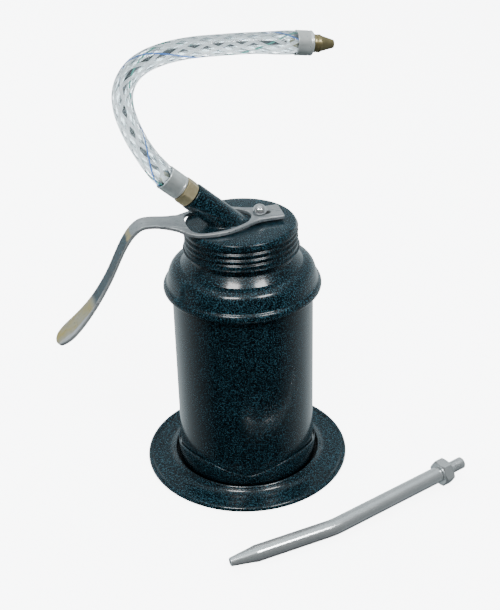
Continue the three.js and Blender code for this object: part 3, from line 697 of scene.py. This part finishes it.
# ---- shoulder and screwed cap, with one shared thread wave ----
thread = {"pitch": 2.8, "depth": 0.45, "turns": 3, "start": 2.2, "fit": 0.4}
capSize = {"radius": 25.4, "wall": 0.8, "depth": 12.5, "edge": 1.4}
shoulder = {"foot": 92.1, "wall": 0.8, "bulge": 3.8}
capTopMm = capTop / mm
threadLength = thread["turns"] * thread["pitch"]
threadLow = capTopMm - thread["start"] - threadLength
capInner = capSize["radius"] - capSize["wall"]
neckOuter = capInner - thread["fit"] - 2 * thread["depth"]
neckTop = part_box("shoulder_neck")[1].z / mm


def threadFade(z):
    along = (z - threadLow) / threadLength
    return min(max(6 * min(along, 1 - along), 0), 1)


def threadWave(azimuth, z):
    # 1 on the thread's crest, -1 in its root
    return math.cos(2 * math.pi * z / thread["pitch"] - azimuth)


def threadLevels(low, high, count=48):
    return [low + (high - low) * i / count for i in range(count + 1)]


def shoulderNeck():
    foot, wall = shoulder["foot"], shoulder["wall"]
    wide = flange["bodyRadius"] + shoulder["bulge"]
    crown = capTopMm - capSize["depth"] - 1.4
    dome = smoothLine([(wide - 2.3, foot), (wide - 1.3, foot + 0.16), (wide - 0.4, foot + 0.8),
                       (wide, foot + 1.9), (wide - 0.12, foot + 2.9), (wide - 0.65, foot + 3.8),
                       (wide - 1.4, foot + 4.5), (wide - 1.8, foot + 5.5), (wide - 2.25, foot + 7.4),
                       (wide - 3.2, crown - 8.5), (wide - 4.7, crown - 6.7), (wide - 6.8, crown - 5.7),
                       (neckOuter + 3.5, crown - 5.0), (neckOuter + 1.7, crown - 4.3),
                       (neckOuter + 0.7, crown - 3.1), (neckOuter + 0.3, crown - 1)], 120)
    inner = flange["bodyRadius"] + 0.3
    inside = [(r - wall * 0.9, z + 0.3) for r, z in reversed(dome) if r - wall > inner and z > foot + 1.2]
    profile = [(inner, foot), *dome, (neckOuter, threadLow - 0.5),
               *[(neckOuter, z) for z in threadLevels(threadLow, neckTop - 0.05)],
               (neckOuter - 0.3, neckTop), (neckOuter - 0.9, neckTop), (neckOuter - 0.9, crown - 0.6),
               *inside, (inner + 0.6, foot + wall), (inner, foot + wall)]
    piece = spun("can_shoulder", profile, 192)

    def rule(r, azimuth, z):
        if abs(r - neckOuter) > 0.02 or z < threadLow or z > neckTop - 0.02:
            return r, z
        return r + thread["depth"] * threadFade(z) * (1 + threadWave(azimuth, z)), z

    reshape(piece, rule)
    smoothBy(piece, 45)
    return finished(piece, darkEnamel, "can", "dark_enamel", "shoulder_neck")


def leaningRod(name, radius, low, high, steps=96):
    piece = spun(name, [(0, low), (radius, low), (radius, high), (0, high)], steps, closed=False)
    settle(piece, spoutPlace)
    return piece


spoutSize = {"x": -5.2, "lean": 47.5, "radius": 6.1, "bore": 3.2, "length": 22.0}
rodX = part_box("pump_rod")[0].lerp(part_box("pump_rod")[1], 0.5).x
spoutPlace = (Matrix.Translation((spoutSize["x"] * mm, 0, capTop))
              @ Matrix.Rotation(-math.radians(spoutSize["lean"]), 4, "Y"))


def screwedCap():
    radius, wall, edge, depth = (capSize[k] for k in ("radius", "wall", "edge", "depth"))
    bottom, top = capTopMm - depth, capTopMm
    rim = radius + 0.75
    shoulderAt = radius - 0.6 - edge
    roll = arcLine(rim - 0.45, bottom + 0.55, 0.45, 75, -90, 8)
    outer = [(0, top), (shoulderAt * 0.3, top), (shoulderAt * 0.6, top), (shoulderAt * 0.85, top),
             *arcLine(shoulderAt, top - edge, edge, 88, 4, 10),
             *[(radius, z) for z in reversed(threadLevels(threadLow, top - thread["start"], 64))],
             (radius + 0.05, bottom + 1.15), *roll, (capInner + 0.2, bottom)]
    inner = [*[(capInner, z) for z in threadLevels(threadLow, top - thread["start"], 64)],
             (capInner, top - wall - 0.6), (capInner - 0.6, top - wall), (0, top - wall)]
    piece = spun("screwed_cap", outer + inner, 192, closed=False)

    def rule(r, azimuth, z):
        if r < capInner - 0.02 or r > radius + 0.02:
            return r, z
        return r - thread["depth"] * threadFade(z) * (1 - threadWave(azimuth, z)), z

    reshape(piece, rule)
    cutWith(piece, leaningRod("neckHole", spoutSize["radius"] + 0.25, -20, 20))
    hole = spun("rodHole", [(0, top - 3), (3.4, top - 3), (3.4, top + 3), (0, top + 3)], 64, closed=False)
    settle(hole, Matrix.Translation((rodX, 0, 0)))
    cutWith(piece, hole)
    smoothBy(piece, 40)
    return finished(piece, capEnamel, "cap", "dark_enamel", "cap_shell")


shoulderNeck()
screwedCap()
print("shoulder and cap made")

# ---- spout neck, hose fitting and ferrules on the leaning axis ----
fitting = {"flats": 10.6, "hexLength": 5.5, "barb": 1.95, "barbLength": 11.0, "gap": 0.3,
           "ferruleRadius": 5.5, "ferruleLength": 8.8, "barbs": 3, "barbPitch": 3.0, "barbRise": 0.3}
hexLow = spoutSize["length"] + fitting["gap"]
hexHigh = hexLow + fitting["hexLength"]
ferruleBore = hose["radius"] - 1.9  # each ferrule's foot closes in on the stem of its fitting


def spoutNeck():
    length, radius, bore = spoutSize["length"], spoutSize["radius"], spoutSize["bore"]
    tube = eased([(radius, -15), (radius, length * 0.4), (radius, length), (bore, length), (bore, -15)], 0.45)
    piece = spun("spout_neck_tube", tube, 96)
    settle(piece, spoutPlace)
    clearSelection()
    bpy.ops.mesh.primitive_cube_add(size=80 * mm, location=(0, 0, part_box("spout_neck")[0].z - 40 * mm))
    cutWith(piece, bpy.context.object)
    smoothBy(piece, 40)
    return finished(piece, darkEnamel, "cap", "dark_enamel", "spout_neck")


def neckWeld():
    # a low bead where the neck comes out of the cap
    clearSelection()
    bpy.ops.mesh.primitive_torus_add(major_radius=(spoutSize["radius"] + 0.45) * mm, minor_radius=0.55 * mm,
                                     major_segments=96, minor_segments=14)
    piece = bpy.context.object
    piece.name = piece.data.name = "neck_weld"
    stretch = 1 / math.cos(math.radians(spoutSize["lean"]))
    for v in piece.data.vertices:
        bead = 1 + 0.12 * math.sin(26 * math.atan2(v.co.y, v.co.x))
        v.co = Vector((v.co.x * stretch, v.co.y, max(v.co.z * bead, -0.1 * mm)))
    settle(piece, Matrix.Translation((spoutSize["x"] * mm, 0, capTop + 0.12 * mm)))
    smoothBy(piece, 60)
    return finished(piece, darkEnamel, "cap", "dark_enamel")


def hoseTail():
    nut = hexPiece("hose_tail_hex", fitting["flats"], hexLow, hexHigh)
    b, high = fitting["barb"], hexHigh + fitting["barbLength"]
    barbs = []
    for i in range(fitting["barbs"]):
        z = hexHigh + 2.5 + i * fitting["barbPitch"]
        barbs += [(b, z), (b + fitting["barbRise"], z + 0.25), (b, z + 2.2)]
    stem = spun("stem", [(0, hexHigh - 1), (b, hexHigh - 1), *barbs, (b - 0.4, high), (1.1, high),
                         (1.1, hexHigh), (0, hexHigh)], 48, closed=False)
    piece = joined(nut, stem)
    settle(piece, spoutPlace)
    smoothBy(piece, 30)
    return finished(piece, paleBrass, "cap", "brass", "hose_tail")


def crimpedFerrule(name, radius, low, length, stem, place, bands):
    inner, high = hose["radius"] + 0.45, low + length
    outer = [(radius - 0.3, low), (radius, low + 0.35)]
    for share in bands:
        dent = low + length * share
        outer += [(radius, dent - 0.5), (radius - 0.12, dent - 0.25), (radius - 0.16, dent),
                  (radius - 0.12, dent + 0.25), (radius, dent + 0.5)]
    outer += [(radius, high - 0.45), (radius + 0.12, high - 0.2), (radius + 0.05, high), (inner, high),
              (inner, low + 0.8), (stem, low + 0.8), (stem, low)]
    piece = spun(name, eased(outer, 0.12), 96)

    def pinch(r, azimuth, z):
        # light jaw marks of the crimping tool
        if r < inner + 0.1 or z < low + 0.6:
            return r, z
        return r - 0.07 * max(0, math.cos(8 * azimuth)) ** 6, z

    reshape(piece, pinch)
    settle(piece, place)
    smoothBy(piece, 40)
    return piece


spoutNeck()
neckWeld()
hoseTail()
lowerFerrule = crimpedFerrule("hose_ferrule_low", fitting["ferruleRadius"], hexHigh + fitting["gap"],
                              fitting["ferruleLength"], ferruleBore, spoutPlace, (0.16,))
finished(lowerFerrule, ferruleMetal, "cap", "aluminium", "lower_ferrule")

tip = {"lean": 97.5, "ferruleRadius": 5.15, "ferruleLength": 7.0, "radius": 3.7, "mouth": 1.6,
       "collar": 3.4, "cone": 5.8}
tipPlace = Matrix.Translation(hoseLine[-1]) @ Matrix.Rotation(math.radians(tip["lean"]), 4, "Y")


def upperFerrule():
    turned = tipPlace @ Matrix.Translation((0, 0, 1.1 * mm)) @ Matrix.Rotation(math.pi, 4, "X")
    piece = crimpedFerrule("hose_ferrule_high", tip["ferruleRadius"], 0, tip["ferruleLength"],
                           ferruleBore, turned, (0.2,))
    return finished(piece, ferruleMetal, "cap", "aluminium", "upper_ferrule")


def brassNozzle():
    low = 1.4
    collar = low + tip["collar"]
    end = collar + tip["cone"]
    r, mouth, stem = tip["radius"], tip["mouth"], fitting["barb"]
    profile = [(0.8, -8), (stem - 0.3, -8), (stem, -6), (stem, low), (r - 0.25, low), (r, low + 0.25),
               (r, low + 1.3), (r - 0.25, low + 1.5), (r - 0.25, low + 1.75), (r, low + 1.95),
               (r, collar - 0.25), (r - 0.35, collar), (mouth + 0.15, end - 0.25), (mouth, end),
               (1.0, end), (0.8, end - 0.6)]
    piece = spun("spout_nozzle", eased(profile, 0.12), 72)
    settle(piece, tipPlace)
    smoothBy(piece, 35)
    return finished(piece, agedBrass, "cap", "brass", "nozzle")


upperFerrulePiece = upperFerrule()
nozzlePiece = brassNozzle()
print("fittings made")

# ---- trigger lever: a flat plate with its window and slot, bent to its side shape ----
lever = {"thick": 1.6, "edge": 0.28, "mid": 1.1, "fulcrum": -22.5, "tongueHalf": 6.2, "tongueEnd": 18.6,
         "slotHalf": 1.9, "slotEnd": 13.8, "corner": 0.8}
leverSide = smoothLine([(lever["tongueEnd"], lever["mid"] + 0.9), (0, lever["mid"] + 0.45),
                        (lever["fulcrum"], lever["mid"]), (-30, lever["mid"] + 1.6),
                        (-40, lever["mid"] + 3.4), (-46, lever["mid"] + 2.2), (-52, -3.7),
                        (-60.4, -19.9), (-68.5, -32), (-77, -41.2), (-85.5, -47.8)], 400)


def mirroredLoop(side):
    return side + [(x, -y) for x, y in reversed(side) if abs(y) > 1e-6]


def leverOutlines():
    half, end, corner = lever["tongueHalf"], lever["tongueEnd"], lever["corner"]
    side = smoothLine([(8.5, half), (4, 7.8), (0, 9.9), (-7, 12.9), (-14, 13.7), (-20.5, 12.9), (-25, 10.6),
                       (-29, 7.6), (-35, 5.5), (-44, 4.9), (-58, 4.6), (-67, 5.4), (-75, 7), (-80, 7.3),
                       (-84, 5.2), (-85.4, 1.6)], 90)
    tongue = arcLine(end - corner, half - corner, corner, 0, 90, 6)
    outline = mirroredLoop([*tongue, (13, half), *side])
    window = mirroredLoop(smoothLine([(5, 0), (3.6, 4), (0, 7.7), (-7, 10.9), (-14, 11.7), (-20, 11),
                                      (-23.6, 7.6), (-24.7, 0)], 70))
    reach, start = lever["slotHalf"], rodX / mm - 0.3
    slot = [*arcLine(lever["slotEnd"] - reach, 0, reach, -90, 90, 14), *arcLine(start, 0, reach, 90, 270, 14)]
    return outline, window, slot


def triggerLever():
    piece = plateOf("trigger_lever_strap", leverOutlines(), lever["thick"], lever["edge"])
    pick(piece)
    bpy.ops.object.mode_set(mode="EDIT")
    for x in np.arange(-84.0, 18.0, 1.5):
        bpy.ops.mesh.select_all(action="SELECT")
        bpy.ops.mesh.bisect(plane_co=(x * mm, 0, 0), plane_no=(1, 0, 0), threshold=1e-6)
    bpy.ops.object.mode_set(mode="OBJECT")
    xs = np.array([p[0] for p in reversed(leverSide)])
    zs = np.array([p[1] for p in reversed(leverSide)])
    slopes = np.gradient(zs, xs)
    for v in piece.data.vertices:
        x, lift = v.co.x / mm, v.co.z / mm
        slope = float(np.interp(x, xs, slopes))
        long = math.hypot(1, slope)
        height = float(np.interp(x, xs, zs)) + lift / long
        v.co = ((x - lift * slope / long) * mm, v.co.y, capTop + height * mm)
    piece.data.update()
    smoothBy(piece, 32)
    return finished(piece, leverSteel, "lever", "zinc_steel", "trigger_lever")


def rodHead():
    low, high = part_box("rod_head")[0].z / mm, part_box("rod_head")[1].z / mm
    radius = (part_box("rod_head")[1].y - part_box("rod_head")[0].y) / 2 / mm
    flat = [(0, low), (radius - 0.25, low), (radius - 0.05, low + 0.15)]
    dome = [(r, low + 0.5 + (z - low - 0.5) * (high - low - 0.5) / radius)
            for r, z in arcLine(0, low + 0.5, radius, 0, 88, 18)]
    piece = spun("rod_head_dome", [*flat, *dome, (0, high)], 72, closed=False)
    settle(piece, Matrix.Translation((rodX, 0, 0)))
    smoothBy(piece, 50)
    return finished(piece, polishedSteel, "plunger", "polished_steel", "rod_head")


triggerLever()
rodHead()
print("lever made")

# ---- spare rigid spout, lying in front of the foot ----
spare = {"radius": 3.75, "bore": 1.8, "tipRadius": 2.0, "taper": 11.0, "first": 47.0, "second": 58.5,
         "bend": 10.4, "bendRadius": 34.0, "flats": 11.0, "nutLength": 5.2, "stubRadius": 2.8,
         "stubLength": 9.5, "grooves": 6, "groovePitch": 0.9, "grooveDepth": 0.22}
spareArc = spare["bendRadius"] * math.radians(spare["bend"])
spareLength = spare["first"] + spareArc + spare["second"]


def spareFrameAt(s):
    turn = min(max((s - spare["first"]) / spareArc, 0), 1) * math.radians(spare["bend"])
    past = max(s - spare["first"] - spareArc, 0)
    x = spare["bendRadius"] * (1 - math.cos(turn)) + past * math.sin(turn)
    z = min(s, spare["first"]) + spare["bendRadius"] * math.sin(turn) + past * math.cos(turn)
    return x, z, turn


def sparePlaceMatrix():
    rise = (spare["flats"] / 2 - spare["radius"]) / (spareLength - spare["taper"])
    foot = flange["footRadius"]

    def point(x, y, s):
        return Vector((x, -foot - y, spare["radius"] + 0.12 + rise * (s - spare["taper"])))

    tipAt = point(-27.6, 32.4, 0)
    knee = point(23.7, 23.3, spare["first"] + spareArc / 2)
    nutAt = point(82.4, 2.7, spareLength)
    first = (knee - tipAt).normalized()
    second = nutAt - knee
    across = (second - first * second.dot(first)).normalized()
    turn = Matrix((across, first.cross(across), first)).transposed().to_4x4()
    return Matrix.Translation(tipAt * mm) @ turn


sparePlace = sparePlaceMatrix()


def spareTube():
    r, tipRadius, taper = spare["radius"], spare["tipRadius"], spare["taper"]
    bend = [spare["first"] + spareArc * i / 14 for i in range(15)]
    outside = [(tipRadius - 0.35, 0), (tipRadius - 0.1, 0.12), (tipRadius, 0.45), (r - 0.35, taper - 0.6),
               (r - 0.12, taper + 0.3), (r, taper + 1.4), *[(r, s) for s in bend], (r, spareLength - 12),
               (r, spareLength - 0.2), (r - 0.2, spareLength)]
    bore = spare["bore"]
    inside = [(bore, spareLength), *[(bore, s) for s in reversed(bend)], (bore, taper + 2), (1.2, taper),
              (1.2, 0)]
    piece = spun("spare_spout_pipe", outside + inside, 72)
    for v in piece.data.vertices:
        x, z, turn = spareFrameAt(v.co.z / mm)
        v.co = ((x * mm + v.co.x * math.cos(turn)), v.co.y, z * mm - v.co.x * math.sin(turn))
    settle(piece, sparePlace)
    smoothBy(piece, 35)
    return finished(piece, zincSteel, "spare_spout", "zinc_steel", "spare_spout_tube")


def spareNut():
    low, high = 0.3, 0.3 + spare["nutLength"]
    nut = hexPiece("spare_spout_hex", spare["flats"], low, high)
    top = high + spare["stubLength"]
    r = spare["stubRadius"]
    root = r - spare["grooveDepth"]
    grooves = []
    for i in range(spare["grooves"]):
        z = high + 1.4 + i * spare["groovePitch"]
        grooves += [(r, z), (root, z + 0.25), (root, z + 0.45), (r, z + 0.7)]
    stub = spun("stub", [(1.5, low + 1), (r - 0.3, low + 1), (r - 0.3, high + 0.9), (r, high + 1.1), *grooves,
                         (r, top - 0.4), (r - 0.4, top), (1.5, top)], 64)
    piece = joined(nut, stub)
    x, z, turn = spareFrameAt(spareLength)
    local = Matrix.Translation((x * mm, 0, z * mm)) @ Matrix.Rotation(turn, 4, "Y")
    settle(piece, sparePlace @ local @ Matrix.Rotation(math.radians(30), 4, "Z"))
    smoothBy(piece, 30)
    return finished(piece, zincSteel, "spare_spout", "zinc_steel", "spare_spout_nut")


spareTube()
spareNut()
print("spare spout made")

# ---- inner pieces keep their own solids ----
innerFinish = {
    "body_bottom": darkEnamel, "cap_gasket": gasketRubber, "pump_head": zincSteel, "gland_nut": agedBrass,
    "gland_packing": sealLeather, "pump_barrel": agedBrass, "pump_rod": polishedSteel,
    "piston_body": agedBrass, "piston_seal": sealLeather, "return_spring": springSteel,
    "foot_valve_body": agedBrass, "ball_stop_pin": polishedSteel, "suction_tube": zincSteel,
    "strainer_cup": agedBrass, "piston_ball": polishedSteel, "foot_valve_ball": polishedSteel,
}
for node, material in innerFinish.items():
    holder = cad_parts[node]
    holder.data.materials.clear()
    holder.data.materials.append(material)


# ---- studio ----
studio = {"floor": 4.0, "floorColor": (0.93, 0.94, 0.95, 1), "floorGlow": 7.0, "softSky": 0.42,
          "skyColor": (0.82, 0.95, 1, 1), "back": (0.225, 0.974, 0.0)}


def makeFloor():
    clearSelection()
    bpy.ops.mesh.primitive_plane_add(size=studio["floor"], location=(0, 0, -0.0002))
    floor = bpy.context.object
    floor.name = "floor"
    material = startMaterial(
        "paleFloor", Roughness=0.9, Base_Color=studio["floorColor"],
        Emission_Color=studio["floorColor"], Emission_Strength=studio["floorGlow"])[0]
    floor.data.materials.append(material)
    floor.visible_diffuse = False
    floor.visible_glossy = False


def makeSky():
    # white behind the object. In reflections it is dark on the camera's side, pale to the sides and behind,
    # dimmer higher up, and bright again overhead.
    world = bpy.data.worlds.new("studio")
    bpy.context.scene.world = world
    world.use_nodes = True
    tree = world.node_tree
    tree.nodes.clear()
    path = tree.nodes.new("ShaderNodeLightPath")
    direction = tree.nodes.new("ShaderNodeTexCoord").outputs["Generated"]
    apart = addNode(tree, "ShaderNodeSeparateXYZ")
    tree.links.new(direction, apart.inputs[0])
    facing = addNode(tree, "ShaderNodeVectorMath", operation="DOT_PRODUCT")
    tree.links.new(direction, facing.inputs[0])
    facing.inputs[1].default_value = studio["back"]
    low = addRange(tree, facing.outputs["Value"], -0.5, 0.55, 0.01, 0.7)
    low = addMath(tree, "MULTIPLY", low, addRange(tree, apart.outputs["Z"], 0.1, 0.5, 1.0, 0.45))
    low = addMath(tree, "MULTIPLY", low, addRange(tree, apart.outputs["Z"], -0.85, -0.62))
    high = addRange(tree, apart.outputs["Z"], 0.66, 0.92, 0.0, 0.72)
    shine = addMath(tree, "MAXIMUM", low, high)
    glossy = path.outputs["Is Glossy Ray"]
    seen = addMath(tree, "MULTIPLY", path.outputs["Is Camera Ray"], studio["floorGlow"])
    clear = addMath(tree, "MAXIMUM", seen, path.outputs["Is Transmission Ray"])
    soft = addMath(tree, "MULTIPLY", addMath(tree, "SUBTRACT", 1.0, glossy), studio["softSky"])
    strength = addMath(tree, "ADD", addMath(tree, "MULTIPLY", glossy, shine), soft)
    strength = addMath(tree, "MAXIMUM", strength, clear)
    background = tree.nodes.new("ShaderNodeBackground")
    background.inputs["Color"].default_value = studio["skyColor"]
    tree.links.new(strength, background.inputs["Strength"])
    output = tree.nodes.new("ShaderNodeOutputWorld")
    tree.links.new(background.outputs[0], output.inputs["Surface"])


def softBox(name, place, size, power, shines=True, target=(0, 0, 0.09)):
    light = bpy.data.lights.new(name, "AREA")
    light.shape = "RECTANGLE"
    light.size, light.size_y = size
    light.energy = power
    lamp = bpy.data.objects.new(name, light)
    bpy.context.scene.collection.objects.link(lamp)
    lamp.location = place
    lamp.visible_glossy = shines
    lamp.rotation_euler = (Vector(target) - Vector(place)).to_track_quat("-Z", "Y").to_euler()


makeFloor()
makeSky()
softBox("boxLeft", (-0.42, -0.62, 1.0), (0.34, 0.2), 7)
softBox("boxRight", (0.38, -0.72, 1.0), (0.34, 0.2), 7)
softBox("boxTop", (0.1, 0.3, 1.3), (0.9, 0.9), 13, False)
softBox("boxBack", (-0.3, 0.85, 0.7), (0.6, 0.6), 6, False)
print("studio made")
